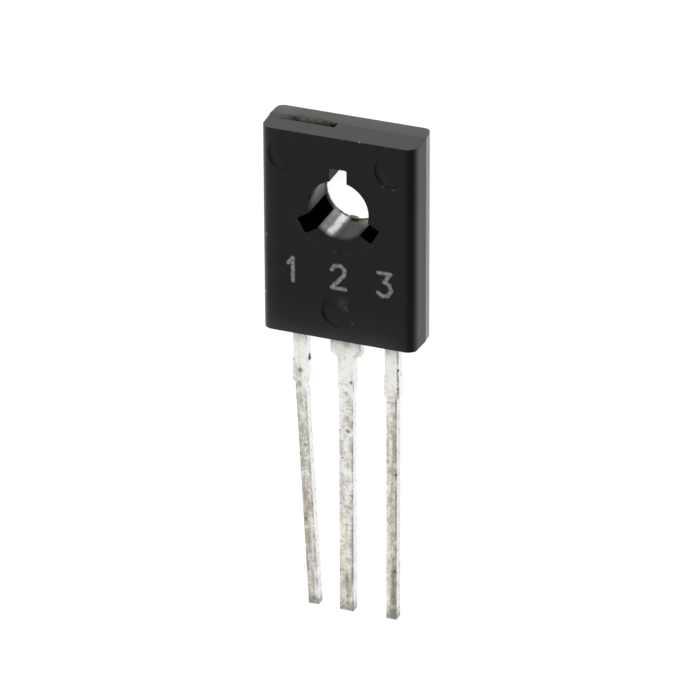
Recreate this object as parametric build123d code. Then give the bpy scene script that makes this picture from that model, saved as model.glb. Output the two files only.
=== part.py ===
from build123d import *
from math import atan2, cos, degrees, hypot, radians, sin, tan
import os

# A power transistor: a flat moulded body with one screw hole and three flat leads.
# Lengths are in millimetres and angles in degrees.
# The Z axis is the axis of the screw hole, and the rear face lies at Z = 0.
# The front face looks along +Z, the body's top along +Y, and the leads run along -Y.

# Moulded body, measured across the parting line. The long edges of both faces are rounded.
# The rear half has steeper long walls, nearly straight end walls, and lies a little to the left,
# because the mould's halves don't quite meet.
body_width = 8.08
body_height = 11.1
body_thickness = 2.5
parting_height = 1.05
front_draft = 3.0
rear_end_draft = 1.0
rear_side_draft = 6.5
mould_mismatch = 0.02
corner_radius = 0.12
front_edge_radius = 0.55
rear_edge_radius = 0.4

# Screw hole, with three blind notches left by the fins that stood round its core
hole_diameter = 3.15
hole_from_top = 3.95
hole_from_right = 4.0
notch_width = 0.88
notch_reach = 2.22
notch_floor = 0.2
notch_count = 3
notch_corner_radius = 0.1

# Round marks of the three ejector pins on the front face. Half of each pin's end was worn
# askew, so each mark is flush up to its middle and sinks from there towards the lower left.
ejector_diameter = 1.75
ejector_depth = 0.15
ejector_lean = 215
ejector_side_offset = 2.75
ejector_top_margin = 1.42
ejector_bottom_margin = 1.65

# Scar of the gate, where the compound flowed in, on the top wall. Its floor sinks from the
# parting line towards the front.
gate_length = 2.9
gate_height = 0.43
gate_depth = 0.14
gate_rear_depth = 0.02
gate_from_left = 0.63

# Lead strip, from which all three leads and the collector plate are stamped
strip_thickness = 0.48
lead_pitch = 2.4
lead_length = 15.7
shank_width = 0.55
collector_shank_width = 0.74
root_width = 0.72
collector_root_width = 1.6
collector_waist_width = 0.86
collector_shoulder = 1.14
collector_taper = 0.45
dam_bar_start = 1.9
dam_bar_end = 3.05
dam_bar_stub = 0.04
shank_taper = 0.15
emitter_splay = 2.9

# Collector plate, bare on the rear face, with a coined step that locks it in the body
plate_width = 6.0
plate_top_margin = 0.95
plate_bottom_margin = 2.25
plate_corner_radius = 0.3
lock_overhang = 0.2
lock_height = 0.2
hole_lining = 0.2
jog_length = 1.15

# Bond flags at the inner ends of the outer leads
flag_gap = 0.36
flag_side_wall = 0.8
flag_bottom_margin = 0.6
flag_height = 1.2
lock_hole_diameter = 0.5

# Silicon die and the solder under it
die_size = 1.2
die_thickness = 0.25
solder_thickness = 0.04
solder_border = 0.1

# Bond wires
emitter_wire_diameter = 0.2
base_wire_diameter = 0.15
wire_cover = 0.35
wire_bend_radius = 0.3
pad_offset = 0.3
flag_bond_inset = 0.45

# The flattened ends of the bond wires, in wire diameters
foot_length = 2.4
foot_width = 1.6
foot_height = 0.4
foot_overlap = 0.2

# Places worked out from the sizes above
body_top = hole_from_top
body_bottom = hole_from_top - body_height
body_left = hole_from_right - body_width
body_middle = ((hole_from_right + body_left) / 2, (body_top + body_bottom) / 2)
lead_tip = body_bottom - lead_length
plate_top = body_top - plate_top_margin
plate_bottom = body_bottom + plate_bottom_margin
lining_radius = hypot(notch_reach, notch_width / 2) + hole_lining
flag_bottom = body_bottom + flag_bottom_margin
flag_inner_edge = collector_root_width / 2 + flag_gap
flag_outer_edge = hole_from_right - flag_side_wall
flag_front = parting_height + strip_thickness
die_middle = (plate_bottom - lining_radius) / 2
die_front = strip_thickness + solder_thickness + die_thickness
outside = 1.0  # how far a cutting shape reaches past the surface it cuts


def drafted_half(towards, height, draft):
    """One half of the moulding, which narrows from the parting line towards its outer face."""
    parting_plane = Plane.XY.offset(parting_height)
    outline = RectangleRounded(body_width, body_height, corner_radius)
    outline = parting_plane * Pos(*body_middle) * outline
    return extrude(outline, height, dir=(0, 0, towards), taper=draft)


def long_wall_cut(towards, height, draft, radius):
    """What the draft and the rounded edge take off one half's long wall towards +X."""
    half_width = body_width / 2
    foot = half_width - height * tan(radians(draft))
    tangent = radius * tan(radians(45 - draft / 2))
    on_face = (foot - tangent, height)
    on_wall = (foot + tangent * sin(radians(draft)), height - tangent * cos(radians(draft)))
    middle_angle = radians(45 + draft / 2)
    on_arc = (
        on_face[0] + radius * cos(middle_angle),
        height - radius + radius * sin(middle_angle),
    )
    waste = Polyline(
        on_face,
        (on_face[0], height + outside),
        (half_width + outside, height + outside),
        (half_width + outside, 0),
        (half_width, 0),
        on_wall,
    )
    edge = ThreePointArc(on_wall, on_arc, on_face)
    cross_section = Plane((0, 0, parting_height), x_dir=(1, 0, 0), z_dir=(0, -towards, 0))
    return extrude(cross_section * make_face(waste + edge), body_height / 2 + outside, both=True)


def hole_and_notches():
    """The screw hole, which runs right through, and the notches, which stop above the rear face."""
    space = Pos(0, 0, -outside) * extrude(Circle(hole_diameter / 2), body_thickness + 2 * outside)
    notch = Pos(notch_reach / 2, 0) * Rectangle(notch_reach, notch_width)
    notch = fillet(notch.vertices().group_by(Axis.X)[-1], notch_corner_radius)
    notch = Pos(0, 0, notch_floor) * extrude(notch, body_thickness - notch_floor + outside)
    for index in range(notch_count):
        space += Rot(0, 0, 90 + index * 360 / notch_count) * notch
    return space


def ejector_marks():
    """The shallow half-round recesses in the front face, with sloping floors."""
    radius = ejector_diameter / 2
    slope = atan2(ejector_depth, radius)
    pin = extrude(Circle(radius), 2 * ejector_depth, both=True)
    mark = split(pin, Plane((0, 0, 0), z_dir=(sin(slope), 0, cos(slope))), Keep.TOP)
    mark = Rot(0, 0, ejector_lean) * mark
    upper = body_top - ejector_top_margin
    lower = body_bottom + ejector_bottom_margin
    places = ((-ejector_side_offset, upper), (ejector_side_offset, upper), (0, lower))
    return [Pos(x, y, body_thickness) * mark for x, y in places]


def gate_scar():
    """The wedge-shaped hollow in the top wall, just in front of the parting line."""
    front = parting_height + gate_height
    side_view = Polygon(
        (body_top - gate_rear_depth, parting_height),
        (body_top + outside, parting_height),
        (body_top + outside, front),
        (body_top - gate_depth, front),
        align=None,
    )
    return Pos(body_left + gate_from_left, 0, 0) * extrude(Plane.YZ * side_view, gate_length)


def body_outside():
    """The moulding as if it were solid right through, with every feature of its surface."""
    front_height = body_thickness - parting_height
    front_half = drafted_half(1, front_height, front_draft)
    front_cut = long_wall_cut(1, front_height, front_draft, front_edge_radius)
    rear_half = drafted_half(-1, parting_height, rear_end_draft)
    rear_cut = long_wall_cut(-1, parting_height, rear_side_draft, rear_edge_radius)
    for side in (0, 180):
        turned = Pos(*body_middle) * Rot(0, 0, side)
        front_half -= turned * front_cut
        rear_half -= turned * rear_cut
    body = front_half + Pos(-mould_mismatch, 0) * rear_half
    body -= hole_and_notches()
    body -= ejector_marks()
    return body - gate_scar()


def tapered_bar(stations):
    """A flat outline, symmetric about X = 0, from (distance below the body, width) stations."""
    left = [(-width / 2, body_bottom - below) for below, width in stations]
    right = [(-x, y) for x, y in reversed(left)]
    return Polygon(*left, *right, align=None)


def plate_outline(overhang):
    """The collector plate's outline, larger all round by the overhang of its coined step."""
    height = plate_top - plate_bottom
    outline = RectangleRounded(
        plate_width + 2 * overhang, height + 2 * overhang, plate_corner_radius + overhang
    )
    hole = Circle(lining_radius + lock_overhang - overhang)
    return Pos(0, (plate_top + plate_bottom) / 2) * outline - hole


def collector_side_profile():
    """The plate at the rear face, the jog that lifts the strip, and the straight lead."""
    jog_top = plate_bottom - lock_overhang
    jog_bottom = jog_top - jog_length
    mitre = strip_thickness * tan(atan2(parting_height, jog_length) / 2)
    far_end = plate_top + lock_overhang + outside
    profile = Polygon(
        (far_end, 0),
        (jog_top, 0),
        (jog_bottom, parting_height),
        (lead_tip - outside, parting_height),
        (lead_tip - outside, flag_front),
        (jog_bottom + mitre, flag_front),
        (jog_top + mitre, strip_thickness),
        (far_end, strip_thickness),
        align=None,
    )
    return extrude(Plane.YZ * profile, body_width, both=True)


def make_collector_frame():
    """The collector plate and the middle lead, stamped and bent from one piece of strip."""
    waist_top = collector_shoulder + collector_taper
    lead = tapered_bar(
        [
            (body_bottom - plate_bottom, collector_root_width),
            (waist_top, collector_root_width),
            (waist_top, collector_waist_width),
            (dam_bar_end, collector_waist_width),
            (dam_bar_end + shank_taper, collector_shank_width),
            (lead_length, collector_shank_width),
        ]
    )
    overhang = (collector_root_width - collector_waist_width) / 2
    hollow_radius = (overhang**2 + collector_taper**2) / (2 * overhang)
    for side in (-1, 1):
        middle = side * (collector_waist_width / 2 + hollow_radius)
        lead -= Pos(middle, body_bottom - waist_top) * Circle(hollow_radius)
    blank = extrude(plate_outline(lock_overhang) + lead, flag_front + outside)
    coined = Rectangle(2 * body_width, 2 * (body_height + lead_length)) - plate_outline(0)
    coined += Circle(lining_radius + lock_overhang)
    return blank & collector_side_profile() - extrude(coined, lock_height)


def make_outer_lead(side, splay):
    """An outer lead, from its bond flag to its tip. Its shank leans by the splay angle."""
    root = tapered_bar(
        [
            (body_bottom - flag_bottom - flag_height / 2, root_width),
            (dam_bar_start, root_width),
            (dam_bar_start + dam_bar_stub, root_width + 2 * dam_bar_stub),
            (dam_bar_end, root_width + 2 * dam_bar_stub),
            (dam_bar_end + shank_taper, shank_width),
        ]
    )
    shank_top = body_bottom - dam_bar_end
    shank = Rectangle(shank_width, lead_length - dam_bar_end, align=(Align.CENTER, Align.MAX))
    shank = Pos(0, shank_top) * Rot(0, 0, splay) * shank
    flag_width = flag_outer_edge - flag_inner_edge
    flag_middle = side * (flag_outer_edge + flag_inner_edge) / 2
    flag = Pos(flag_middle, flag_bottom + flag_height / 2) * Rectangle(flag_width, flag_height)
    lock_hole = Pos(side * lead_pitch, flag_bottom + flag_height / 2) * Circle(lock_hole_diameter / 2)
    outline = Pos(side * lead_pitch, 0) * (root + shank) + flag - lock_hole
    return Pos(0, 0, parting_height) * extrude(outline, strip_thickness)


def make_die():
    """The silicon chip, in front of the collector plate between its hole and its lower edge."""
    die = extrude(Rectangle(die_size, die_size), die_thickness)
    return Pos(0, die_middle, strip_thickness + solder_thickness) * die


def make_solder():
    """The thin layer of solder between the chip and the plate."""
    size = die_size + 2 * solder_border
    return Pos(0, die_middle, strip_thickness) * extrude(Rectangle(size, size), solder_thickness)


def bond_foot(place, heading, diameter):
    """The flattened end of a bond wire, which lies on the metal at the given place."""
    foot = Rectangle(foot_length * diameter, foot_width * diameter)
    return Pos(*place) * Rot(0, 0, heading) * extrude(foot, foot_height * diameter)


def make_bond_wire(side, diameter):
    """A wire that arches from the chip's front to the bond flag of an outer lead."""
    start = (side * pad_offset, die_middle - pad_offset, die_front)
    end = (side * (flag_inner_edge + flag_bond_inset), flag_bottom + flag_height / 2, flag_front)
    crown = body_thickness - wire_cover - diameter / 2
    wire_end = foot_overlap * diameter  # above the metal, inside the foot
    rise = crown - end[2] - wire_end
    path = FilletPolyline(
        (start[0], start[1], start[2] + wire_end),
        (start[0], start[1], crown),
        (end[0], end[1], crown),
        (end[0], end[1], end[2] + wire_end),
        radius=min(wire_bend_radius, 0.9 * rise),
    )
    wire = sweep(Plane(path @ 0, z_dir=path % 0) * Circle(diameter / 2), path)
    heading = degrees(atan2(end[1] - start[1], end[0] - start[0]))
    return wire + bond_foot(start, heading, diameter) + bond_foot(end, heading, diameter)


def make_mould_body(inside):
    """The moulded body, with a space of exactly the right form for each piece inside it."""
    body = body_outside()
    for piece in inside:
        body -= piece
    return body


inside_pieces = {
    "collector_frame": make_collector_frame(),
    "emitter_lead": make_outer_lead(-1, emitter_splay),
    "base_lead": make_outer_lead(1, 0),
    "silicon_die": make_die(),
    "die_solder": make_solder(),
    "emitter_bond_wire": make_bond_wire(-1, emitter_wire_diameter),
    "base_bond_wire": make_bond_wire(1, base_wire_diameter),
}
pieces = {"mould_body": make_mould_body(inside_pieces.values()), **inside_pieces}

os.makedirs("parts", exist_ok=True)
for name, piece in pieces.items():
    export_step(piece, f"parts/{name}.step")
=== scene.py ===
import math

import bmesh
import bpy
from mathutils import Matrix, Vector, noise


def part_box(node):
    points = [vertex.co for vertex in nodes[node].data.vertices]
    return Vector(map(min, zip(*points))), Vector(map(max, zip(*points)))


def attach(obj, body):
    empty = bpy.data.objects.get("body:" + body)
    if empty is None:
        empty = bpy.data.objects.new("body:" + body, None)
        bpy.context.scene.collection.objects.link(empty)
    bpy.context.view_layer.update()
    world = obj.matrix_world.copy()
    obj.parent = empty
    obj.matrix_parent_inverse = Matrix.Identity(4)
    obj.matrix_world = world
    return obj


# A power transistor that lies on its back on a white floor, seen from above its front face.
# The row frame is in metres: Z is the screw hole's axis, Z = 0 the rear face, +Y the body's top.
# Materials and small pieces are written in millimetres, in the same frame.

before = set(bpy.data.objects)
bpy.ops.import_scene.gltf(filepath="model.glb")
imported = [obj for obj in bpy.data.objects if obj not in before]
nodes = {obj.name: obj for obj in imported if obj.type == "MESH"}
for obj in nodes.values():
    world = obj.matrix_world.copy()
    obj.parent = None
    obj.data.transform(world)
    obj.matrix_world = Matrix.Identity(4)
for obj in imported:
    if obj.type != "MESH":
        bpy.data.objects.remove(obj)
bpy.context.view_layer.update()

MM = 0.001

# The camera looks at a point on the front face's plane.
CAMERA_TARGET = Vector((0.598, -7.470, 2.5)) * MM
CAMERA_AZIMUTH = 21.2  # degrees to the right of the front face's normal
CAMERA_ELEVATION = 28.07  # degrees towards the body's top
CAMERA_ROLL = -0.19
CAMERA_DISTANCE = 289.9 * MM
CAMERA_LENS = 305.8
CAMERA_SENSOR = 36.0

# Sizes of the moulded body, in millimetres
BODY_LOW, BODY_HIGH = (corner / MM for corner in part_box("mould_body"))
FRONT = BODY_HIGH.z
TOP = BODY_HIGH.y
BOTTOM = BODY_LOW.y
PARTING = 1.05
FRONT_DRAFT = math.tan(math.radians(3.0))
HOLE_RADIUS = 1.575
NOTCH_REACH = 2.22
WITNESS_RADIUS = 2.35
MARK_DEPTH = 0.15  # of the ejector marks
GATE_LEFT, GATE_RIGHT = -3.45, -0.55
GATE_FRONT = PARTING + 0.43
GATE_DEPTH = 0.14
GATE_REAR_DEPTH = 0.02

# Sizes of the leads, in millimetres. Where the shanks start, that far below the body, the outer
# leads narrow from their roots and the middle one from its waist, and the first one starts to lean.
LEAD_PITCH = 2.4
LEAD_LENGTH = 15.7
SHANK_START = 3.05
ROOT_WIDTH = 0.72
SHANK_WIDTH = 0.55
MIDDLE_WAIST_WIDTH = 0.86
MIDDLE_SHANK_WIDTH = 0.74
LEAN = math.tan(math.radians(2.9))


# ---------------------------------------------------------------- camera, light and floor


def place_camera():
    """The camera, at the photograph's viewing angle, with the body's top upwards."""
    azimuth, elevation = math.radians(CAMERA_AZIMUTH), math.radians(CAMERA_ELEVATION)
    back = Vector(
        (
            math.sin(azimuth) * math.cos(elevation),
            math.sin(elevation),
            math.cos(azimuth) * math.cos(elevation),
        )
    )
    right = Vector((0, 1, 0)).cross(back).normalized()
    turn = Matrix((right, back.cross(right), back)).transposed()
    turn = turn @ Matrix.Rotation(math.radians(CAMERA_ROLL), 3, "Z")
    data = bpy.data.cameras.new("camera")
    data.lens = CAMERA_LENS
    data.sensor_width = CAMERA_SENSOR
    data.clip_start = 10 * MM
    data.clip_end = 10.0
    camera = bpy.data.objects.new("camera", data)
    camera.matrix_world = Matrix.Translation(CAMERA_TARGET + back * CAMERA_DISTANCE) @ turn.to_4x4()
    bpy.context.scene.collection.objects.link(camera)
    bpy.context.scene.camera = camera


def soft_lamp(name, place, size, power):
    """A square lamp that faces the object from the given place, in metres."""
    data = bpy.data.lights.new(name, "AREA")
    data.shape = "SQUARE"
    data.size = size
    data.energy = power
    lamp = bpy.data.objects.new(name, data)
    place = Vector(place)
    turn = place.to_track_quat("Z", "Y").to_matrix().to_4x4()
    lamp.matrix_world = Matrix.Translation(place) @ turn
    lamp.visible_camera = False
    bpy.context.scene.collection.objects.link(lamp)


def light_room():
    """A dim even sky, a key lamp beyond the body's top and a fill lamp to the left."""
    world = bpy.data.worlds.new("room")
    world.use_nodes = True
    bpy.context.scene.world = world
    background = world.node_tree.nodes["Background"]
    background.inputs["Color"].default_value = (1.0, 1.0, 1.0, 1.0)
    background.inputs["Strength"].default_value = 0.2
    soft_lamp("key_lamp", place=(0.15, 0.62, 1.0), size=0.7, power=11.5)
    soft_lamp("side_lamp", place=(-1.1, 0.5, 0.35), size=0.7, power=10.0)


def lay_floor():
    """The white floor. It is near white to the camera and to glossy surfaces, and keeps the shadow."""
    reach = 3.0
    mesh = bpy.data.meshes.new("floor")
    corners = [(-reach, -reach, 0), (reach, -reach, 0), (reach, reach, 0), (-reach, reach, 0)]
    mesh.from_pydata(corners, [], [(0, 1, 2, 3)])
    floor = bpy.data.objects.new("floor", mesh)
    floor.location.z = -0.001 * MM  # a hair below the part's rear face
    bpy.context.scene.collection.objects.link(floor)
    graph = Graph("white_floor")
    paths = graph.node("ShaderNodeLightPath").outputs
    seen = graph.any_of(paths["Is Camera Ray"], paths["Is Glossy Ray"], paths["Is Transmission Ray"])

    # light that bounces off it meets a plain white surface
    bare = graph.node("ShaderNodeBsdfDiffuse")
    bare.inputs["Color"].default_value = (0.85, 0.85, 0.85, 1)

    # what is seen of it glows near white, over a dim surface that takes the shadow
    dim = graph.node("ShaderNodeBsdfDiffuse")
    dim.inputs["Color"].default_value = (0.2, 0.2, 0.2, 1)
    glow = graph.node("ShaderNodeEmission")
    glow.inputs["Color"].default_value = (0.92, 0.92, 0.92, 1)
    both = graph.node("ShaderNodeAddShader")
    graph.link(dim.outputs[0], both.inputs[0])
    graph.link(glow.outputs[0], both.inputs[1])

    choose = graph.node("ShaderNodeMixShader")
    graph.link(seen, choose.inputs[0])
    graph.link(bare.outputs[0], choose.inputs[1])
    graph.link(both.outputs[0], choose.inputs[2])
    graph.link(choose.outputs[0], graph.output.inputs["Surface"])
    floor.data.materials.append(graph.material)


# ---------------------------------------------------------------- material building blocks


class Graph:
    """One node material while it is being built. Its places are in millimetres in the row frame."""

    def __init__(self, name):
        self.material = bpy.data.materials.new(name)
        self.material.use_nodes = True
        self.tree = self.material.node_tree
        self.tree.nodes.clear()
        self.output = self.tree.nodes.new("ShaderNodeOutputMaterial")

    def node(self, kind, **settings):
        made = self.tree.nodes.new(kind)
        for key, value in settings.items():
            setattr(made, key, value)
        return made

    def link(self, source, target):
        self.tree.links.new(source, target)

    def feed(self, target, value):
        """Puts a socket, a number or a tuple into an input."""
        if isinstance(value, bpy.types.NodeSocket):
            self.link(value, target)
        else:
            target.default_value = value

    def math(self, operation, *values, clamp=False):
        made = self.node("ShaderNodeMath", operation=operation, use_clamp=clamp)
        for target, value in zip(made.inputs, values):
            self.feed(target, value)
        return made.outputs[0]

    def vector(self, operation, *values):
        made = self.node("ShaderNodeVectorMath", operation=operation)
        for target, value in zip(made.inputs, values):
            self.feed(target, value)
        gives_number = operation in ("LENGTH", "DOT_PRODUCT", "DISTANCE")
        return made.outputs["Value" if gives_number else "Vector"]

    def scaled(self, vector, factor):
        made = self.node("ShaderNodeVectorMath", operation="SCALE")
        self.feed(made.inputs[0], vector)
        self.feed(made.inputs["Scale"], factor)
        return made.outputs[0]

    def place(self):
        """The surface point, in millimetres."""
        return self.scaled(self.node("ShaderNodeTexCoord").outputs["Object"], 1 / MM)

    def flat(self, place):
        """The place seen from the front, with no height."""
        return self.vector("MULTIPLY", place, (1.0, 1.0, 0.0))

    def normal(self):
        return self.node("ShaderNodeNewGeometry").outputs["Normal"]

    def split(self, vector):
        made = self.node("ShaderNodeSeparateXYZ")
        self.link(vector, made.inputs[0])
        return made.outputs

    def join(self, x, y, z):
        made = self.node("ShaderNodeCombineXYZ")
        for target, value in zip(made.inputs, (x, y, z)):
            self.feed(target, value)
        return made.outputs[0]

    def noise(self, place, scale, detail=3.0, roughness=0.55, distortion=0.0, stretch=None):
        """Noise from 0 to 1. Stretch holds three factors, and a small one draws the noise out."""
        if stretch is not None:
            place = self.vector("MULTIPLY", place, stretch)
        made = self.node("ShaderNodeTexNoise")
        self.link(place, made.inputs["Vector"])
        made.inputs["Scale"].default_value = scale
        made.inputs["Detail"].default_value = detail
        made.inputs["Roughness"].default_value = roughness
        made.inputs["Distortion"].default_value = distortion
        return made.outputs[0]

    def ragged(self, value, noise, amount):
        """The value, pushed up and down by a noise."""
        return self.math("MULTIPLY_ADD", self.math("SUBTRACT", noise, 0.5), amount, value)

    def distance(self, value, middle):
        """How far a value is from a middle one."""
        return self.math("ABSOLUTE", self.math("SUBTRACT", value, middle))

    def rise(self, value, low, high):
        """A smooth step from 0 at low to 1 at high. Low may be the larger one."""
        made = self.node("ShaderNodeMapRange", interpolation_type="SMOOTHSTEP")
        self.feed(made.inputs["Value"], value)
        ends = ((low, 0.0), (high, 1.0)) if low < high else ((high, 1.0), (low, 0.0))
        made.inputs["From Min"].default_value, made.inputs["To Min"].default_value = ends[0]
        made.inputs["From Max"].default_value, made.inputs["To Max"].default_value = ends[1]
        return made.outputs[0]

    def band(self, value, foot, low, high, end):
        """1 between low and high, and smoothly down to 0 at the foot below and the end above."""
        return self.all_of(self.rise(value, foot, low), self.rise(value, end, high))

    def all_of(self, *masks):
        product = masks[0]
        for mask in masks[1:]:
            product = self.math("MULTIPLY", product, mask)
        return product

    def any_of(self, *masks):
        largest = masks[0]
        for mask in masks[1:]:
            largest = self.math("MAXIMUM", largest, mask)
        return largest

    def mix(self, factor, first, second):
        """A colour between the first and the second."""
        made = self.node("ShaderNodeMix", data_type="RGBA")
        self.feed(made.inputs[0], factor)
        for target, value in ((made.inputs[6], first), (made.inputs[7], second)):
            self.feed(target, (*value, 1) if isinstance(value, tuple) else value)
        return made.outputs[2]

    def blend(self, factor, first, second):
        """A number between the first and the second."""
        made = self.node("ShaderNodeMix", data_type="FLOAT")
        self.feed(made.inputs[0], factor)
        self.feed(made.inputs[2], first)
        self.feed(made.inputs[3], second)
        return made.outputs[0]

    def spot(self, place, centre, radius, raggedness=0.3, softness=0.4):
        """A small round patch with a ragged edge: 1 inside, 0 outside."""
        distance = self.vector("DISTANCE", place, centre)
        wobble = self.noise(place, scale=1.2 / radius)
        distance = self.math("MULTIPLY_ADD", wobble, radius * raggedness * 2, distance)
        return self.rise(distance, radius * (1 + raggedness), radius * (1 - softness + raggedness))

    def stroke(self, flat_place, start, end):
        """The distance from a straight stroke, in millimetres."""
        start, end = Vector((*start, 0)), Vector((*end, 0))
        run = end - start
        ahead = self.vector("SUBTRACT", flat_place, tuple(start))
        share = self.vector("DOT_PRODUCT", ahead, tuple(run / run.length_squared))
        share = self.math("ADD", share, 0.0, clamp=True)
        nearest = self.scaled(tuple(run), share)
        return self.vector("DISTANCE", ahead, nearest)

    def bump(self, height, depth):
        """A normal bent by a height from 0 to 1, which stands for that depth in millimetres."""
        made = self.node("ShaderNodeBump")
        made.inputs["Strength"].default_value = 1.0
        made.inputs["Distance"].default_value = depth * MM
        self.link(height, made.inputs["Height"])
        return made.outputs[0]

    def surface(self, color, roughness, metallic=0.0, normal=None, shine=None):
        """The shader. Ends the material and returns the shader's node."""
        shader = self.node("ShaderNodeBsdfPrincipled")
        self.feed(shader.inputs["Base Color"], (*color, 1) if isinstance(color, tuple) else color)
        self.feed(shader.inputs["Roughness"], roughness)
        self.feed(shader.inputs["Metallic"], metallic)
        shader.inputs["IOR"].default_value = 1.5
        if normal is not None:
            self.link(normal, shader.inputs["Normal"])
        if shine is not None:
            self.link(shine, shader.inputs["Specular IOR Level"])
        self.link(shader.outputs[0], self.output.inputs["Surface"])
        return shader


class Coat:
    """A material's colour and finish while one mark after another is laid over them."""

    def __init__(self, graph, color, roughness, height, metallic=0.0, shine=None):
        self.graph = graph
        self.color = color
        self.roughness = roughness
        self.height = height
        self.metallic = metallic
        self.shine = shine

    def tint(self, color, *masks):
        """Lays a colour over the surface, as far as the product of the masks goes."""
        self.color = self.graph.mix(self.graph.all_of(*masks), self.color, color)

    def roughen(self, mask, roughness):
        self.roughness = self.graph.blend(mask, self.roughness, roughness)

    def gloss(self, mask, shine):
        self.shine = self.graph.blend(mask, self.shine, shine)

    def finish(self, depth):
        """Ends the material, with a bump of that depth in millimetres, and returns it."""
        normal = self.graph.bump(self.height, depth)
        self.graph.surface(self.color, self.roughness, self.metallic, normal, self.shine)
        return self.graph.material


# ---------------------------------------------------------------- the moulded body

# Plain pin numerals over the leads, as strokes on the front face: (middle, points). The points
# count from the middle of the numeral's foot.
NUMERAL_LINE = -4.2  # where their feet stand
NUMERAL_STROKE = 0.10  # half the width of a stroke
ONE = ((-0.2, 0.95), (0.03, 1.25), (0.03, 0.0))
TWO = ((-0.34, 0.98), (-0.2, 1.2), (0.1, 1.25), (0.33, 1.05), (0.3, 0.75), (-0.34, 0.0), (0.36, 0.0))
THREE_TOP = ((-0.32, 1.25), (0.3, 1.25), (-0.02, 0.78), (0.24, 0.66))
THREE_BOWL = ((0.34, 0.36), (0.18, 0.06), (-0.1, 0.0), (-0.34, 0.16))
NUMERALS = ((-LEAD_PITCH, ONE), (0.0, TWO), (LEAD_PITCH, THREE_TOP + THREE_BOWL))

# Painted highlights along the screw hole's wall: (angle round the hole, half their width, strength)
BORE_HIGHLIGHTS = ((249, 9, 0.62), (245, 19, 0.34), (228, 9, 0.20), (172, 20, 0.12))

# Pale spots on the moulding: (centre, radius, strength)
SCUFFS = (
    ((0.26, -5.00, FRONT), 0.45, 0.05),
    ((0.40, -5.28, FRONT), 0.22, 0.09),
    ((0.72, -5.98, FRONT), 0.11, 0.09),
    ((-0.16, -2.30, FRONT), 0.22, 0.03),
    ((2.33, 1.74, FRONT), 0.07, 0.4),
    ((2.80, 1.62, FRONT), 0.07, 0.15),
    ((2.90, 1.63, FRONT), 0.06, 0.15),
    ((-3.75, -1.96, FRONT - 0.1), 0.11, 0.6),
    ((-3.85, -5.09, FRONT - 0.15), 0.11, 0.6),
    ((1.10, TOP - 0.08, FRONT), 0.08, 0.9),
    ((3.95, -6.05, PARTING + 0.8), 0.09, 0.5),
)

# The moulding's colours
COMPOUND_DARK = (0.0020, 0.0030, 0.0040)
COMPOUND_PALE = (0.0044, 0.0054, 0.0064)
COMPOUND_GRAIN = (0.0085, 0.0095, 0.0105)
FILLER_SPECK = (0.04, 0.04, 0.04)
# painted reflection on the face's edges and rounding, and a painted highlight on its lower rim
FACE_EDGE_LIGHT = (0.1, 0.1, 0.098)
ROUNDING_LIGHT = (0.1, 0.1, 0.105)
LOWER_RIM_HIGHLIGHT = (0.12, 0.12, 0.115)
# painted highlight on the long walls, and painted light on the top wall, behind the parting line
REAR_LONG_WALL_HIGHLIGHT = (0.215, 0.21, 0.205)
REAR_TOP_WALL_LIGHT = (0.025, 0.026, 0.018)
REAR_TOP_LEFT_LIGHT = (0.052, 0.052, 0.042)
TORN_WALL = (0.016, 0.017, 0.010)
# painted shade on the right edge, a dark bluish tone on the right wall, and a painted highlight on the top
# right corner
RIGHT_EDGE_SHADE = (0.001, 0.001, 0.001)
RIGHT_WALL = (0.004, 0.004, 0.012)
TOP_RIGHT_CORNER_LIGHT = (0.030, 0.031, 0.034)
# painted light on the ejector marks' walls and floors
MARK_WALL_LIGHT = (0.024, 0.025, 0.026)
MARK_FLOOR_LIGHT = (0.016, 0.017, 0.018)
BORE_CLEAN = (0.006, 0.006, 0.008)
# a painted highlight on the screw hole's wall
BORE_HIGHLIGHT = (0.95, 0.95, 0.96)
# painted shade in the notches, and painted light on the upper notch's wall
NOTCH_SHADE = (0.0008, 0.0008, 0.0008)
UPPER_NOTCH_LIGHT = (0.085, 0.068, 0.050)
WITNESS_LINE = (0.03, 0.03, 0.032)
SCUFF = (0.45, 0.45, 0.44)
NUMERAL_DARK = (0.06, 0.06, 0.062)
NUMERAL_PALE = (0.27, 0.27, 0.275)
PARTING_LINE = (0.003, 0.003, 0.003)


class Mould(Coat):
    """The moulding's coat, with the places, directions and noises that its marks share."""

    def __init__(self):
        graph = Graph("mould_compound")
        self.place = graph.place()
        self.x, self.y, self.z = graph.split(self.place)
        self.facing = graph.split(graph.normal())
        self.flat = graph.flat(self.place)
        self.radius = graph.vector("LENGTH", self.flat)
        self.upright = graph.rise(graph.math("ABSOLUTE", self.facing[2]), 0.6, 0.4)
        self.sideways = graph.rise(graph.math("ABSOLUTE", self.facing[0]), 0.7, 0.9)
        self.upwards = graph.rise(self.facing[1], 0.7, 0.9)
        self.front = graph.all_of(
            graph.rise(self.z, FRONT - 0.3, FRONT - 0.25),
            graph.rise(self.facing[2], 0.9, 0.99),
        )

        # the compound itself: a fine grain, faint clouds and a few pale filler specks
        self.grain = graph.noise(self.place, scale=14.0, detail=2.0)
        self.clouds = graph.noise(self.place, scale=0.9, detail=4.0)
        super().__init__(
            graph,
            color=graph.mix(self.clouds, COMPOUND_DARK, COMPOUND_PALE),
            roughness=graph.blend(self.grain, 0.34, 0.46),
            height=graph.math("MULTIPLY_ADD", graph.noise(self.place, scale=3.0), 0.6, self.grain),
            shine=graph.blend(graph.rise(self.facing[0], 0.3, 0.95), 0.5, 0.39),
        )
        self.tint(COMPOUND_GRAIN, graph.rise(self.grain, 0.35, 0.65))
        specks = graph.rise(graph.noise(self.place, scale=7.0, detail=1.0), 0.73, 0.80)
        self.tint(FILLER_SPECK, specks, 0.35)


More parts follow.
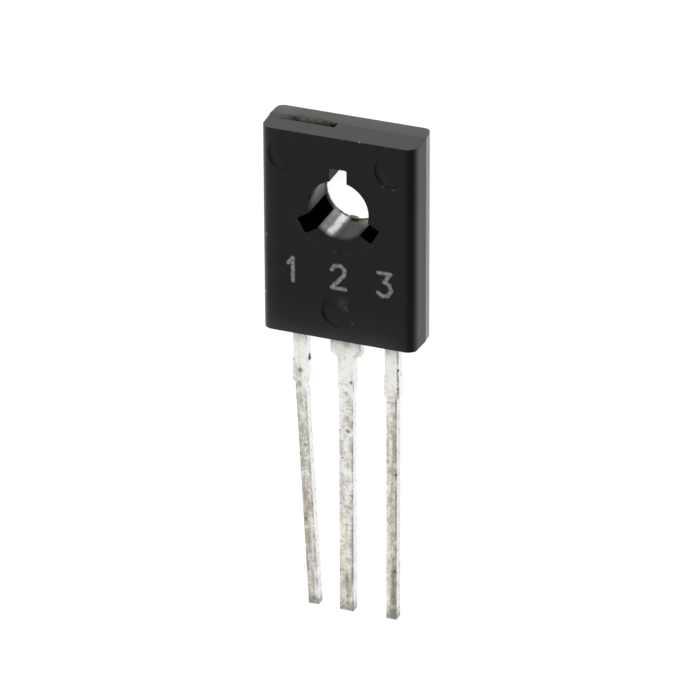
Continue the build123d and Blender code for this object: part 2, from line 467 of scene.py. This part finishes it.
def paint_edge_light(mould):
    """The face is painted paler towards its lower and left edges and on its rounding along the right, as a
    painted reflection, and its lower rim carries a painted highlight.
    """
    graph, x, y, z = mould.graph, mould.x, mould.y, mould.z
    edge_light = graph.math("MULTIPLY", graph.rise(y, BOTTOM + 2.2, BOTTOM), 0.085)
    edge_light = graph.math("MULTIPLY_ADD", graph.rise(y, BOTTOM + 0.9, BOTTOM), 0.15, edge_light)
    edge_light = graph.all_of(edge_light, graph.blend(graph.rise(x, 2.4, 3.4), 1.0, 0.3))
    edge_light = graph.math("MULTIPLY_ADD", graph.rise(x, -2.9, -3.9), 0.095, edge_light)
    edge_light = graph.all_of(edge_light, graph.rise(z, FRONT - 0.4, FRONT - 0.2))
    uneven = graph.blend(mould.clouds, 0.6, 1.4)
    mould.tint(FACE_EDGE_LIGHT, edge_light, uneven, graph.rise(mould.facing[2], 0.3, 0.6))

    rounding = graph.band(mould.facing[0], 0.1, 0.3, 0.8, 0.95)
    mould.tint(ROUNDING_LIGHT, rounding, graph.blend(graph.rise(y, -1.5, -4.5), 0.04, 0.075))

    mould.tint(
        LOWER_RIM_HIGHLIGHT,
        graph.rise(z, FRONT - 0.3, FRONT - 0.1),
        graph.rise(mould.facing[1], -0.02, -0.1),
        graph.rise(y, BOTTOM + 0.3, BOTTOM + 0.2),
    )


def paint_rear_wall_light(mould):
    """Behind the parting line the long walls are smoother and painted pale as a highlight, and the top
    wall is painted lighter as light, most at its left end.
    """
    graph, x, z = mould.graph, mould.x, mould.z
    long_wall = graph.all_of(graph.rise(z, PARTING + 0.1, PARTING), mould.sideways)
    mould.tint(REAR_LONG_WALL_HIGHLIGHT, long_wall, graph.blend(mould.clouds, 0.5, 1.0))
    mould.roughen(long_wall, 0.28)

    left_end = graph.all_of(graph.rise(x, -2.4, -3.6), graph.rise(z, PARTING + 0.3, PARTING - 0.3))
    top_light = graph.mix(left_end, REAR_TOP_WALL_LIGHT, REAR_TOP_LEFT_LIGHT)
    mould.tint(top_light, graph.rise(z, PARTING + 0.3, 0.0), mould.upwards)


def tear_gate_wall(mould):
    """Behind the gate scar the top wall is torn and duller."""
    graph, z = mould.graph, mould.z
    tears = graph.noise(mould.place, scale=3.2, detail=4.0, roughness=0.6)
    torn = graph.all_of(
        graph.rise(graph.ragged(z, tears, 0.6), PARTING - 0.28, PARTING - 0.08),
        graph.rise(z, PARTING + 0.03, PARTING),
        mould.upwards,
        graph.band(mould.x, GATE_LEFT + 0.1, GATE_LEFT + 0.5, GATE_RIGHT - 0.5, GATE_RIGHT),
    )
    mould.tint(TORN_WALL, torn)
    mould.gloss(torn, 0.22)


def paint_right_edge_shade(mould):
    """The long rounded edge on the right is painted darker as shade, the wall beside it a dark bluish
    tone, and the corner above them paler as a painted highlight.
    """
    graph, facing = mould.graph, mould.facing
    right_edge_shade = graph.all_of(
        graph.band(facing[0], 0.02, 0.4, 0.75, 0.98),
        graph.rise(facing[1], 0.5, 0.3),
        graph.rise(mould.z, PARTING + 0.6, PARTING + 0.7),
    )
    mould.tint(RIGHT_EDGE_SHADE, right_edge_shade, 0.7)
    mould.gloss(right_edge_shade, 0.26)
    mould.tint(
        RIGHT_WALL,
        graph.rise(facing[0], 0.98, 0.99),
        graph.rise(mould.z, PARTING, PARTING + 0.05),
    )
    mould.tint(
        TOP_RIGHT_CORNER_LIGHT,
        graph.rise(facing[0], 0.2, 0.5),
        graph.rise(facing[1], 0.2, 0.5),
        graph.rise(mould.x, 3.2, 3.3),
    )


def paint_ejector_mark_light(mould):
    """The ejector marks' walls and floors are painted paler as light, except along the lower left walls
    and near the face, which stay dark as painted shade.
    """
    graph = mould.graph
    sunk = graph.rise(mould.z, FRONT - MARK_DEPTH - 0.05, FRONT - MARK_DEPTH - 0.02)
    clear_of_hole = graph.rise(mould.radius, 2.5, 2.6)
    mark_wall = graph.all_of(
        mould.upright,
        sunk,
        graph.rise(graph.math("ABSOLUTE", mould.x), 3.9, 3.8),
        graph.band(mould.y, BOTTOM + 0.2, BOTTOM + 0.3, TOP - 0.2, TOP - 0.1),
        clear_of_hole,
    )
    in_left_mark = graph.rise(mould.x, -1.9, -2.0)
    # walls that face this direction keep the dark compound as painted shade, and the others are painted
    # paler as light
    darkest = graph.join(graph.blend(in_left_mark, 0.74, 0.6), graph.blend(in_left_mark, 0.67, 0.8), 0.0)
    lit = graph.vector("DOT_PRODUCT", graph.normal(), darkest)
    lit = graph.blend(in_left_mark, graph.rise(lit, 0.9, 0.6), graph.rise(lit, 0.92, 0.75))
    mould.tint(MARK_WALL_LIGHT, mark_wall, lit)
    mould.tint(
        MARK_FLOOR_LIGHT,
        graph.rise(mould.facing[2], 0.9, 0.95),
        sunk,
        graph.rise(mould.z, FRONT - 0.04, FRONT - 0.14),
        clear_of_hole,
    )


def polish_bore(mould):
    """The screw hole was polished by its core, and carries painted highlights in streaks along its wall,
    where it is also made partly metallic.
    """
    graph, z = mould.graph, mould.z
    bore = graph.all_of(mould.upright, graph.rise(mould.radius, HOLE_RADIUS + 0.05, HOLE_RADIUS + 0.03))
    around = graph.vector("NORMALIZE", mould.flat)
    around_x = graph.split(around)[0]
    left_part = graph.rise(around_x, -0.75, -0.9)
    right_part = graph.all_of(graph.rise(around_x, -0.2, 0.5), graph.rise(z, 0.2, 0.9))
    mottle = graph.noise(mould.place, scale=1.4, stretch=(2.4, 2.4, 1.6))

    # towards the front rim the painted highlights fade and the shine drops, as painted shade, over more of
    # its depth on the left
    mouth = graph.blend(left_part, graph.rise(z, FRONT, FRONT - 0.6), graph.rise(z, FRONT, 1.0))

    highlights = 0.0
    for angle, half_width, strength in BORE_HIGHLIGHTS:
        heading = math.radians(angle)
        along = graph.vector("DOT_PRODUCT", around, (math.cos(heading), math.sin(heading), 0.0))
        highlight = graph.rise(graph.ragged(along, mottle, 0.012), math.cos(math.radians(half_width)), 1.0)
        highlights = graph.math("MULTIPLY_ADD", highlight, strength, highlights)
    highlights = graph.all_of(highlights, graph.blend(mottle, 0.75, 1.2), mouth)
    highlights = graph.math("MULTIPLY", highlights, graph.blend(graph.rise(z, 1.0, 0.3), 1.0, 1.15), clamp=True)
    # the painted highlights, laid over the bore's own dark colour
    mould.tint(graph.mix(highlights, BORE_CLEAN, BORE_HIGHLIGHT), bore)
    mould.roughen(bore, graph.blend(mottle, 0.16, 0.3))
    mould.metallic = graph.all_of(bore, graph.rise(highlights, 0.5, 1.0), 0.35)
    mould.height = graph.blend(bore, mould.height, 0.5)

    burr_shadow = graph.spot(mould.place, (0.02, -HOLE_RADIUS, 0.1), radius=0.35, raggedness=0.2)
    shine = graph.blend(right_part, graph.blend(left_part, 0.3, 0.15), 0.045)
    shine = graph.blend(mouth, 0.02, graph.blend(burr_shadow, shine, 0.1))
    mould.gloss(bore, shine)


def paint_notch_shade(mould):
    """The notches are unpolished and painted black as shade, apart from the right-facing wall of the upper
    one, painted brownish grey as light from the rear.
    """
    graph = mould.graph
    inner, outer = HOLE_RADIUS + 0.03, NOTCH_REACH + 0.3
    notch = graph.all_of(
        graph.band(mould.radius, inner, inner + 0.02, outer - 0.1, outer),
        graph.band(mould.z, 0.05, 0.1, FRONT - 0.02, FRONT - 0.005),
    )
    mould.tint(NOTCH_SHADE, notch)
    mould.roughen(notch, 1.0)
    upper = graph.all_of(notch, graph.rise(mould.y, 1.3, 1.45), graph.rise(mould.facing[0], 0.5, 0.8))
    mould.tint(UPPER_NOTCH_LIGHT, upper)
    mould.roughen(upper, 0.4)
    mould.gloss(notch, graph.math("MULTIPLY", upper, 0.07))


def draw_witness_line(mould):
    """The fine line that the core's insert left round the lower part of the hole."""
    graph = mould.graph
    mould.tint(
        WITNESS_LINE,
        mould.front,
        graph.rise(graph.distance(mould.radius, WITNESS_RADIUS), 0.05, 0.0),
        graph.rise(mould.clouds, 0.4, 0.6),
        graph.rise(mould.y, 0.5, -1.5),
        0.35,
    )


def scatter_scuffs(mould):
    """Pale scuffs: dust in the lower ejector mark, flash by the right one and nicks along the edges."""
    graph = mould.graph
    scuffs = []
    for centre, size, strength in SCUFFS:
        scuff = graph.spot(mould.place, centre, size, raggedness=0.8, softness=1.0)
        scuffs.append(graph.all_of(scuff, strength))
    mould.tint(SCUFF, graph.any_of(*scuffs), graph.rise(mould.grain, 0.3, 0.6))


def burn_numerals(mould):
    """The pin numerals, burnt pale into the face."""
    graph = mould.graph
    nearest = None
    for middle, points in NUMERALS:
        points = [(middle + x, NUMERAL_LINE + y) for x, y in points]
        for start, end in zip(points, points[1:]):
            distance = graph.stroke(mould.flat, start, end)
            nearest = distance if nearest is None else graph.math("MINIMUM", nearest, distance)
    nearest = graph.math("MULTIPLY_ADD", graph.noise(mould.flat, scale=7.0), 0.08, nearest)
    inked = graph.rise(nearest, NUMERAL_STROKE + 0.08, NUMERAL_STROKE - 0.01)
    numerals = graph.all_of(mould.front, inked)
    burnt = graph.rise(graph.noise(mould.flat, scale=5.0, detail=4.0, roughness=0.7), 0.25, 0.75)
    mould.tint(graph.mix(burnt, NUMERAL_DARK, NUMERAL_PALE), numerals)
    mould.roughen(numerals, 0.8)


def draw_parting_line(mould):
    """The parting line, a fine step along the long walls."""
    graph = mould.graph
    mould.tint(
        PARTING_LINE,
        mould.upright,
        graph.rise(graph.distance(mould.z, PARTING), 0.025, 0.005),
        mould.sideways,
        0.3,
        graph.rise(mould.radius, 3.0, 3.2),
    )


def mould_material():
    """Charcoal epoxy with a fine matt texture, glossy in the screw hole."""
    mould = Mould()
    paint_edge_light(mould)
    paint_rear_wall_light(mould)
    tear_gate_wall(mould)
    paint_right_edge_shade(mould)
    paint_ejector_mark_light(mould)
    polish_bore(mould)
    paint_notch_shade(mould)
    draw_witness_line(mould)
    scatter_scuffs(mould)
    burn_numerals(mould)
    draw_parting_line(mould)
    return mould.finish(depth=0.005)


# ---------------------------------------------------------------- tin and bare metal

# Dark spots on the leads: (centre, radius, strength)
LEAD_SPOTS = (
    ((-2.04, -8.97, 1.20), 0.24, 1.0),
    ((-2.04, -9.42, 1.45), 0.07, 0.8),
    ((-2.04, -9.95, 1.45), 0.08, 0.6),
    ((-2.38, -9.64, 1.53), 0.18, 0.6),
    ((-2.75, -9.08, 1.53), 0.06, 0.6),
    ((-2.42, -10.4, 1.53), 0.18, 0.25),
    ((-2.11, -13.75, 1.53), 0.10, 0.4),
    ((-2.14, -17.98, 1.53), 0.05, 0.8),
    ((0.05, -7.74, 1.53), 0.30, 0.35),
    ((0.78, -7.96, 1.50), 0.06, 0.8),
    ((0.27, -9.84, 1.53), 0.12, 0.75),
    ((0.02, -10.50, 1.53), 0.13, 0.25),
    ((0.06, -11.97, 1.53), 0.22, 0.25),
    ((-0.31, -12.58, 1.53), 0.06, 0.8),
    ((0.10, -12.60, 1.53), 0.17, 0.7),
    ((2.76, -8.70, 1.50), 0.10, 1.0),
    ((2.60, -10.55, 1.53), 0.06, 0.8),
    ((2.63, -10.90, 1.53), 0.05, 0.8),
    ((2.64, -14.57, 1.53), 0.10, 0.9),
    ((2.20, -17.20, 1.53), 0.07, 0.6),
    ((2.57, -20.07, 1.53), 0.08, 0.9),
    ((-2.17, -18.00, 1.53), 0.12, 0.5),
    ((-1.70, -22.55, 1.53), 0.20, 0.5),
    ((-2.18, -13.84, 1.53), 0.16, 0.5),
)

# Scratches across the leads and dark streaks along them: (start, end, half their width, strength)
LEAD_STROKES = (
    ((-0.36, -9.97), (0.30, -10.00), 0.09, 0.3),
    ((-0.06, -13.74), (0.14, -13.70), 0.09, 0.45),
    ((0.07, -14.15), (0.08, -14.62), 0.10, 0.45),
    ((0.16, -11.60), (0.20, -12.30), 0.13, 0.3),
    ((-0.05, -16.22), (0.34, -16.18), 0.10, 0.6),
    ((-0.06, -16.84), (0.32, -17.00), 0.09, 0.55),
    ((-0.05, -17.94), (0.34, -17.90), 0.09, 0.4),
    ((0.17, -19.90), (0.01, -20.99), 0.12, 0.5),
    ((0.01, -20.99), (0.04, -22.48), 0.12, 0.55),
    ((-1.92, -19.84), (-1.83, -21.17), 0.12, 0.5),
    ((-1.83, -21.17), (-1.74, -22.50), 0.13, 0.4),
    ((-2.41, -9.50), (-2.45, -10.75), 0.13, 0.35),
    ((-2.45, -10.75), (-2.23, -11.94), 0.12, 0.3),
    ((2.73, -7.20), (2.73, -9.95), 0.09, 0.75),
    ((0.73, -7.35), (0.74, -7.90), 0.08, 0.5),
    ((0.70, -8.05), (0.46, -8.40), 0.08, 0.45),
    ((2.18, -15.60), (2.66, -15.58), 0.09, 0.4),
    ((2.50, -17.90), (2.50, -19.42), 0.24, 0.5),
    ((2.50, -20.20), (2.51, -22.65), 0.27, 0.6),
    ((2.38, -22.45), (2.48, -22.65), 0.22, 0.5),
)

# The leads' colours
TIN_BRIGHT = (1.0, 0.995, 0.94)
TIN_STAINED = (0.37, 0.333, 0.265)
TIN_CREAM = (0.95, 0.91, 0.74)
# painted reflection on the leads' right sides
SIDE_REFLECTION = (1.0, 1.0, 0.99)
SIDE_STAINED_REFLECTION = (0.45, 0.44, 0.42)
LEFT_SIDE = (0.10, 0.10, 0.098)
TIN_DOT = (0.32, 0.295, 0.24)
TIN_DIRT = (0.10, 0.09, 0.07)
EDGE_LINE = (0.15, 0.14, 0.115)
EDGE_WEAR = (0.24, 0.225, 0.19)
TIN_SPOT = (0.025, 0.022, 0.018)
END_DIRT = (0.24, 0.23, 0.20)
CUT_END = (0.16, 0.11, 0.075)


class Tin(Coat):
    """The leads' coat, with the places, directions and noises that its marks share."""

    def __init__(self):
        graph = self.graph = Graph("tinned_strip")
        self.place = graph.place()
        self.x, y = graph.split(self.place)[:2]
        self.facing = graph.split(graph.normal())
        self.below = graph.math("SUBTRACT", BOTTOM, y)  # distance below the body
        self.shank = graph.rise(self.below, SHANK_START - 0.8, SHANK_START + 1.2)
        self.side = graph.rise(self.facing[0], 0.75, 0.9)

        # which lead it is, and how far to the right of that lead's own middle the point lies
        between = LEAD_PITCH / 2
        self.first_lead = graph.rise(self.x, 0.01 - between, -0.01 - between)
        self.middle_lead = graph.rise(graph.math("ABSOLUTE", self.x), between + 0.01, between - 0.01)
        self.last_lead = graph.rise(self.x, between - 0.01, between + 0.01)
        splayed = graph.math("MAXIMUM", graph.math("SUBTRACT", self.below, SHANK_START), 0.0)
        splayed = graph.math("MULTIPLY", splayed, LEAN)
        middle = graph.math("MULTIPLY", self.first_lead, graph.math("SUBTRACT", splayed, LEAD_PITCH))
        middle = graph.math("MULTIPLY_ADD", self.last_lead, LEAD_PITCH, middle)
        self.across = graph.math("SUBTRACT", self.x, middle)

        drawn_out = (5.5, 0.8, 5.5)
        self.streaks = graph.noise(self.place, scale=1.0, roughness=0.5, distortion=0.4, stretch=drawn_out)
        self.blotches = graph.noise(self.place, scale=2.8, roughness=0.6, stretch=(1.0, 0.8, 1.0))
        self.fine = graph.noise(self.place, scale=8.0, roughness=0.6)
        # the right sides take less of the stain, which paints them paler as a reflection
        self.stain = graph.all_of(self.stained(), graph.blend(self.side, 1.0, 0.3))
        super().__init__(
            graph,
            color=graph.mix(self.stain, TIN_BRIGHT, TIN_STAINED),
            roughness=graph.blend(self.stain, 0.38, 0.6),
            height=graph.math("MULTIPLY_ADD", self.fine, 0.6, self.streaks),
            metallic=graph.blend(self.side, graph.blend(self.stain, 0.12, 0.05), 0.75),
        )

    def stained(self):
        """How stained the tin is: soft clouds drawn out along the lead, deeper in some places."""
        graph = self.graph
        clouds = graph.noise(self.place, scale=1.1, roughness=0.5, stretch=(1.6, 0.9, 1.6))
        stain = graph.math("MULTIPLY_ADD", self.streaks, 0.35, graph.math("MULTIPLY", clouds, 0.25))
        stain = graph.math("MULTIPLY_ADD", self.blotches, 0.40, stain)
        stain = graph.ragged(stain, self.fine, 0.28)

        right_half = graph.rise(self.across, -0.14, 0.12)
        far_end = graph.all_of(graph.blend(self.middle_lead, 0.2, 1.0), graph.rise(self.below, 11.0, 13.0))
        last_end = graph.all_of(graph.rise(self.below, 12.5, 15.0), 0.4)
        far_end = graph.math("MULTIPLY_ADD", self.last_lead, last_end, far_end)
        for where, deeper in (
            (graph.all_of(right_half, self.last_lead, self.shank), 0.11),
            (self.last_lead, -0.03),
            (self.middle_lead, -0.04),
            (graph.all_of(right_half, self.first_lead), -0.06),
            (graph.all_of(self.first_lead, self.shank), 0.05),
            (far_end, 0.075),
            (graph.math("SUBTRACT", self.shank, 1.0), 0.07),
        ):
            stain = graph.math("MULTIPLY_ADD", where, deeper, stain)
        return graph.rise(stain, 0.35, 0.69)


def vary_tin(tin):
    """A cream stretch on the two right leads, paler right sides as a painted reflection, darker left
    sides, dots and specks.
    """
    graph = tin.graph
    cream = graph.band(tin.below, 9.5, 11.0, 13.0, 15.0)
    cream = graph.all_of(cream, graph.rise(tin.across, 0.1, -0.2), graph.rise(tin.x, -0.6, -0.5))
    tin.tint(TIN_CREAM, cream, graph.blend(tin.stain, 0.5, 0.2))
    # painted reflection: the right sides paler and whiter
    tin.tint(graph.mix(tin.stain, SIDE_REFLECTION, SIDE_STAINED_REFLECTION), tin.side)
    dots = graph.rise(graph.noise(tin.place, scale=5.5, detail=2.0, roughness=0.6), 0.54, 0.68)
    tin.tint(TIN_DOT, dots, graph.blend(tin.shank, 0.22, 0.55))
    tin.tint(LEFT_SIDE, graph.rise(tin.facing[0], -0.75, -0.9), 0.5)
    specks = graph.rise(graph.noise(tin.place, scale=3.2, roughness=0.65), 0.66, 0.78)
    tin.tint(TIN_DIRT, specks, graph.blend(tin.shank, 0.5, 0.7))


def darken_lead_edges(tin):
    """A dark line along each lead's stamped right edge, and wear on the rounded edges."""
    graph = tin.graph
    slim = graph.rise(tin.below, SHANK_START, SHANK_START + 0.15)
    outer_half = graph.blend(slim, ROOT_WIDTH / 2, SHANK_WIDTH / 2)
    middle_half = graph.blend(slim, MIDDLE_WAIST_WIDTH / 2, MIDDLE_SHANK_WIDTH / 2)
    half_width = graph.blend(tin.middle_lead, outer_half, middle_half)
    inward = graph.ragged(graph.math("SUBTRACT", half_width, tin.across), tin.fine, 0.08)
    patchy = graph.rise(graph.math("MULTIPLY_ADD", tin.blotches, 0.6, tin.streaks), 0.55, 0.9)
    strength = graph.any_of(
        graph.all_of(tin.last_lead, 0.6),
        graph.all_of(tin.first_lead, slim, 0.4),
        graph.all_of(tin.middle_lead, graph.rise(tin.below, 2.2, 3.0), 0.7),
    )
    upper_side = graph.rise(tin.facing[2], 0.2, 0.4)
    tin.tint(EDGE_LINE, graph.rise(inward, 0.13, 0.02), upper_side, patchy, strength)
    rounded = graph.all_of(upper_side, graph.rise(tin.facing[2], 0.97, 0.9))
    tin.tint(EDGE_WEAR, rounded, graph.rise(tin.blotches, 0.45, 0.65), 0.6)


def spot_leads(tin):
    """Single dark spots and smudges, scratches across the leads and streaks along them."""
    graph = tin.graph
    for centre, size, strength in LEAD_SPOTS:
        raggedness, softness = 1.1 - 0.9 * strength, 1.0 - 0.5 * strength
        spot = graph.spot(tin.place, centre, size, raggedness, softness)
        tin.tint(TIN_SPOT, spot, strength)
    flat = graph.flat(tin.place)
    top_side = graph.rise(tin.facing[2], 0.9, 0.98)
    broken = graph.all_of(
        graph.rise(tin.blotches, 0.3, 0.5),
        graph.blend(graph.rise(tin.fine, 0.6, 0.38), 0.45, 1.15),
    )
    for start, end, half_width, strength in LEAD_STROKES:
        stroke = graph.math("MULTIPLY_ADD", tin.fine, half_width, graph.stroke(flat, start, end))
        stroke = graph.rise(stroke, half_width * 1.6, half_width * 0.3)
        tin.tint(TIN_DIRT, stroke, top_side, strength, broken)


def darken_ends(tin):
    """The cut ends are bare and dark, and dirt creeps up from them."""
    graph = tin.graph
    end = graph.rise(graph.ragged(tin.below, tin.fine, 1.2), LEAD_LENGTH - 0.65, LEAD_LENGTH - 0.1)
    tin.tint(END_DIRT, end, graph.blend(tin.fine, 0.5, 0.9))
    cut = graph.rise(graph.math("ABSOLUTE", tin.facing[1]), 0.8, 0.95)
    tin.tint(CUT_END, cut, graph.rise(tin.below, LEAD_LENGTH - 0.4, LEAD_LENGTH - 0.1))


def tin_material():
    """Dull bright tin: soft warm grey stains along the leads, dark specks and dark cut ends."""
    tin = Tin()
    vary_tin(tin)
    darken_lead_edges(tin)
    spot_leads(tin)
    darken_ends(tin)
    return tin.finish(depth=0.010)


def simple_metal(name, color, roughness):
    """A plain bright metal with drawn lines."""
    graph = Graph(name)
    lines = graph.noise(graph.place(), scale=1.0, stretch=(9.0, 2.0, 9.0))
    darker = tuple(channel * 0.7 for channel in color)
    color = graph.mix(lines, color, darker)
    graph.surface(color, graph.blend(lines, roughness, roughness + 0.2), metallic=1.0)
    return graph.material


def silicon_material():
    """A polished chip with a faint grid of metal on its face."""
    graph = Graph("silicon")
    x = graph.split(graph.place())[0]
    fingers = graph.rise(graph.math("SINE", graph.math("MULTIPLY", x, 40.0)), -0.2, 0.2)
    color = graph.mix(fingers, (0.09, 0.10, 0.13), (0.55, 0.56, 0.58))
    graph.surface(color, 0.18, graph.blend(fingers, 0.3, 1.0))
    return graph.material


def paint(node, material):
    nodes[node].data.materials.clear()
    nodes[node].data.materials.append(material)


def soften_edges(node, width):
    """Rounds a stamped lead's sharp edges a little."""
    bevel = nodes[node].modifiers.new("worn_edges", "BEVEL")
    bevel.width = width * MM
    bevel.segments = 2
    bevel.limit_method = "ANGLE"
    bevel.angle_limit = math.radians(40)
    bevel.harden_normals = True


# ---------------------------------------------------------------- small pieces of resin


def add_piece(name, built, material):
    """A mesh piece of the visual model, which rides on the part's one body."""
    bmesh.ops.recalc_face_normals(built, faces=built.faces)
    mesh = bpy.data.meshes.new(name)
    built.to_mesh(mesh)
    built.free()
    piece = bpy.data.objects.new(name, mesh)
    bpy.context.scene.collection.objects.link(piece)
    piece.data.materials.append(material)
    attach(piece, "root")


def quad(grid, column, row):
    return (grid[column][row], grid[column + 1][row], grid[column + 1][row + 1], grid[column][row + 1])


def top_wall(z):
    """The front half's drafted top wall."""
    return TOP - (z - PARTING) * FRONT_DRAFT


def gate_floor(z):
    """The floor of the gate's hollow, which sinks towards the front."""
    along = (z - PARTING) / (GATE_FRONT - PARTING)
    return TOP - GATE_REAR_DEPTH - (GATE_DEPTH - GATE_REAR_DEPTH) * along


def torn_resin(x, z):
    """The torn resin in the hollow: pitted, with a ragged crevice in front and a hook on the right."""
    along = (x - GATE_LEFT) / (GATE_RIGHT - GATE_LEFT)
    ragged = noise.fractal(Vector((x * 3.5, z * 6.0, 3.0)), 1.0, 2.1, 5)
    edge = noise.fractal(Vector((x * 3.0, z * 2.0, 8.0)), 1.0, 2.0, 4)
    width = 0.02 + 0.14 * along + 0.09 * edge
    crevice = 1.0 + (z - GATE_FRONT + width) / 0.07
    hook_middle = GATE_RIGHT - 0.07 - 0.6 * (z - PARTING) ** 1.3
    hook = 1.8 - abs(x - hook_middle) / (0.05 + 0.08 * (z - PARTING))
    pits = 0.06 * max(0.0, ragged - 0.05) * (1.3 - along) * min(1.0, (z - PARTING) / 0.2)
    sunk = 0.001 + pits + 0.12 * min(1.0, max(0.0, crevice, hook))
    return max(gate_floor(z) + 0.003, top_wall(z) - sunk)


def make_gate_stub():
    """The broken surface of the gate: nearly flush at the rear, with a ragged crevice in front."""
    columns, rows = 160, 30
    inset = 0.002
    left, right = GATE_LEFT + inset, GATE_RIGHT - inset
    rear, lip = PARTING + inset, GATE_FRONT - inset
    built = bmesh.new()
    surface, base = [], []
    for column in range(columns + 1):
        x = left + (right - left) * column / columns
        surface.append([])
        base.append([])
        for row in range(rows + 1):
            z = rear + (lip - rear) * row / rows
            surface[-1].append(built.verts.new(Vector((x, torn_resin(x, z), z)) * MM))
            base[-1].append(built.verts.new(Vector((x, gate_floor(z), z)) * MM))
    for column in range(columns):
        for row in range(rows):
            built.faces.new(quad(surface, column, row))
            built.faces.new(reversed(quad(base, column, row)))
    rims = [((column, row), (column + 1, row)) for column in range(columns) for row in (0, rows)]
    rims += [((column, row), (column, row + 1)) for row in range(rows) for column in (0, columns)]
    for (column, row), (next_column, next_row) in rims:
        upper = (surface[column][row], surface[next_column][next_row])
        lower = (base[next_column][next_row], base[column][row])
        built.faces.new(upper + lower)
    add_piece("gate_stub", built, broken_resin())


def broken_resin():
    """The gate's broken resin: smooth where it is flush, and a rough dark olive where it is torn. Where it
    lies deep, and in a hook at the right end, it is painted black as shade.
    """
    graph = Graph("broken_resin")
    place = graph.place()
    x, y, z = graph.split(place)
    grit = graph.noise(place, scale=6.0, detail=4.0, roughness=0.65)
    patches = graph.noise(place, scale=3.2, detail=4.0, roughness=0.6)
    patchy = graph.rise(patches, 0.42, 0.66)
    flush = graph.mix(graph.rise(grit, 0.3, 0.7), (0.005, 0.005, 0.005), (0.018, 0.018, 0.013))
    olive = graph.mix(graph.rise(grit, 0.3, 0.65), (0.002, 0.002, 0.001), (0.026, 0.027, 0.015))
    olive = graph.mix(patchy, olive, (0.004, 0.004, 0.002))

    to_left = graph.rise(x, GATE_LEFT + 1.6, GATE_LEFT + 0.3)
    rear_edge = graph.math("MULTIPLY_ADD", to_left, 0.10, graph.ragged(z, patches, 0.9))
    left_end = graph.rise(graph.ragged(x, patches, 0.8), GATE_LEFT + 0.1, GATE_LEFT + 0.4)
    pitted = graph.rise(rear_edge, PARTING - 0.08, PARTING + 0.12)
    pitted = graph.all_of(pitted, graph.blend(left_end, 0.25, 1.0))
    color = graph.mix(pitted, flush, olive)

    # painted shade: darker where the resin lies deep below the wall
    wall = graph.math("MULTIPLY_ADD", graph.math("SUBTRACT", z, PARTING), -FRONT_DRAFT, TOP)
    deep_shade = graph.rise(graph.math("SUBTRACT", wall, y), 0.015, 0.08)
    color = graph.mix(deep_shade, color, (0.008, 0.008, 0.005))

    # painted shade: a black hook at the right end
    hook_start = (GATE_RIGHT - 0.30, GATE_FRONT - 0.05)
    hook_end = (GATE_RIGHT - 0.05, PARTING + 0.06)
    hook = graph.stroke(graph.join(x, z, 0.0), hook_start, hook_end)
    hook = graph.rise(graph.math("MULTIPLY_ADD", grit, 0.06, hook), 0.11, 0.05)
    color = graph.mix(hook, color, (0.001, 0.001, 0.0005))

    shine = graph.blend(pitted, 0.5, graph.blend(patchy, 0.25, 0.06))
    shine = graph.blend(hook, graph.blend(deep_shade, shine, 0.05), 0.0)
    roughness = graph.blend(pitted, 0.40, 0.55)
    graph.surface(color, roughness, normal=graph.bump(grit, 0.010), shine=shine)
    return graph.material


def make_hole_flash():
    """A thin amber film of resin on the rear rim of the screw hole, with one torn burr."""
    first, last, steps = 145, 302, 314  # the ends in degrees round the hole
    thickness = 0.03
    burr_angle, burr_width, burr_reach = 266, 9.0, 0.10
    outer = HOLE_RADIUS + 0.01
    built = bmesh.new()
    rings = []
    for step in range(steps + 1):
        degrees = first + (last - first) * step / steps
        angle = math.radians(degrees)
        taper = math.sin(math.pi * step / steps) ** 0.5
        film = 0.065 + 0.02 * noise.fractal(Vector((angle * 9.0, 0.0, 1.0)), 1.0, 2.0, 4)
        burr = burr_reach * max(0.0, 1 - ((degrees - burr_angle) / burr_width) ** 2) ** 0.5
        inner = HOLE_RADIUS - 0.004 - max(0.006, film * taper) - burr
        ring = []
        for radius, level in ((outer, 0.001), (inner, 0.004), (inner, thickness / 2), (outer, thickness)):
            point = Vector((radius * math.cos(angle), radius * math.sin(angle), level))
            ring.append(built.verts.new(point * MM))
        rings.append(ring)
    for before, after in zip(rings, rings[1:]):
        for corner in range(4):
            following = (corner + 1) % 4
            built.faces.new((before[corner], after[corner], after[following], before[following]))
    built.faces.new(rings[0])
    built.faces.new(reversed(rings[-1]))
    add_piece("hole_flash", built, amber_flash())


def amber_flash():
    """Thin, half see-through resin: pale on the left, then dark, and amber in the middle and right."""
    graph = Graph("amber_flash")
    place = graph.place()
    x = graph.split(place)[0]
    amber = graph.mix(graph.noise(place, scale=4.0), (0.42, 0.37, 0.17), (0.20, 0.17, 0.08))
    color = graph.mix(graph.rise(x, -0.6, -0.1), (0.035, 0.032, 0.020), amber)
    color = graph.mix(graph.rise(x, -0.7, -1.1), color, (0.50, 0.48, 0.40))
    shader = graph.surface(color, 0.45)
    shader.inputs["Transmission Weight"].default_value = 0.45
    return graph.material


# ---------------------------------------------------------------- the whole

place_camera()
light_room()
lay_floor()

tin = tin_material()
paint("mould_body", mould_material())
for lead in ("collector_frame", "emitter_lead", "base_lead"):
    paint(lead, tin)
    soften_edges(lead, 0.04)
paint("silicon_die", silicon_material())
paint("die_solder", simple_metal("solder", (0.56, 0.57, 0.58), 0.5))
wire = simple_metal("bond_wire", (0.86, 0.87, 0.88), 0.25)
paint("emitter_bond_wire", wire)
paint("base_bond_wire", wire)
make_gate_stub()
make_hole_flash()

bpy.context.scene.view_settings.view_transform = "Standard"
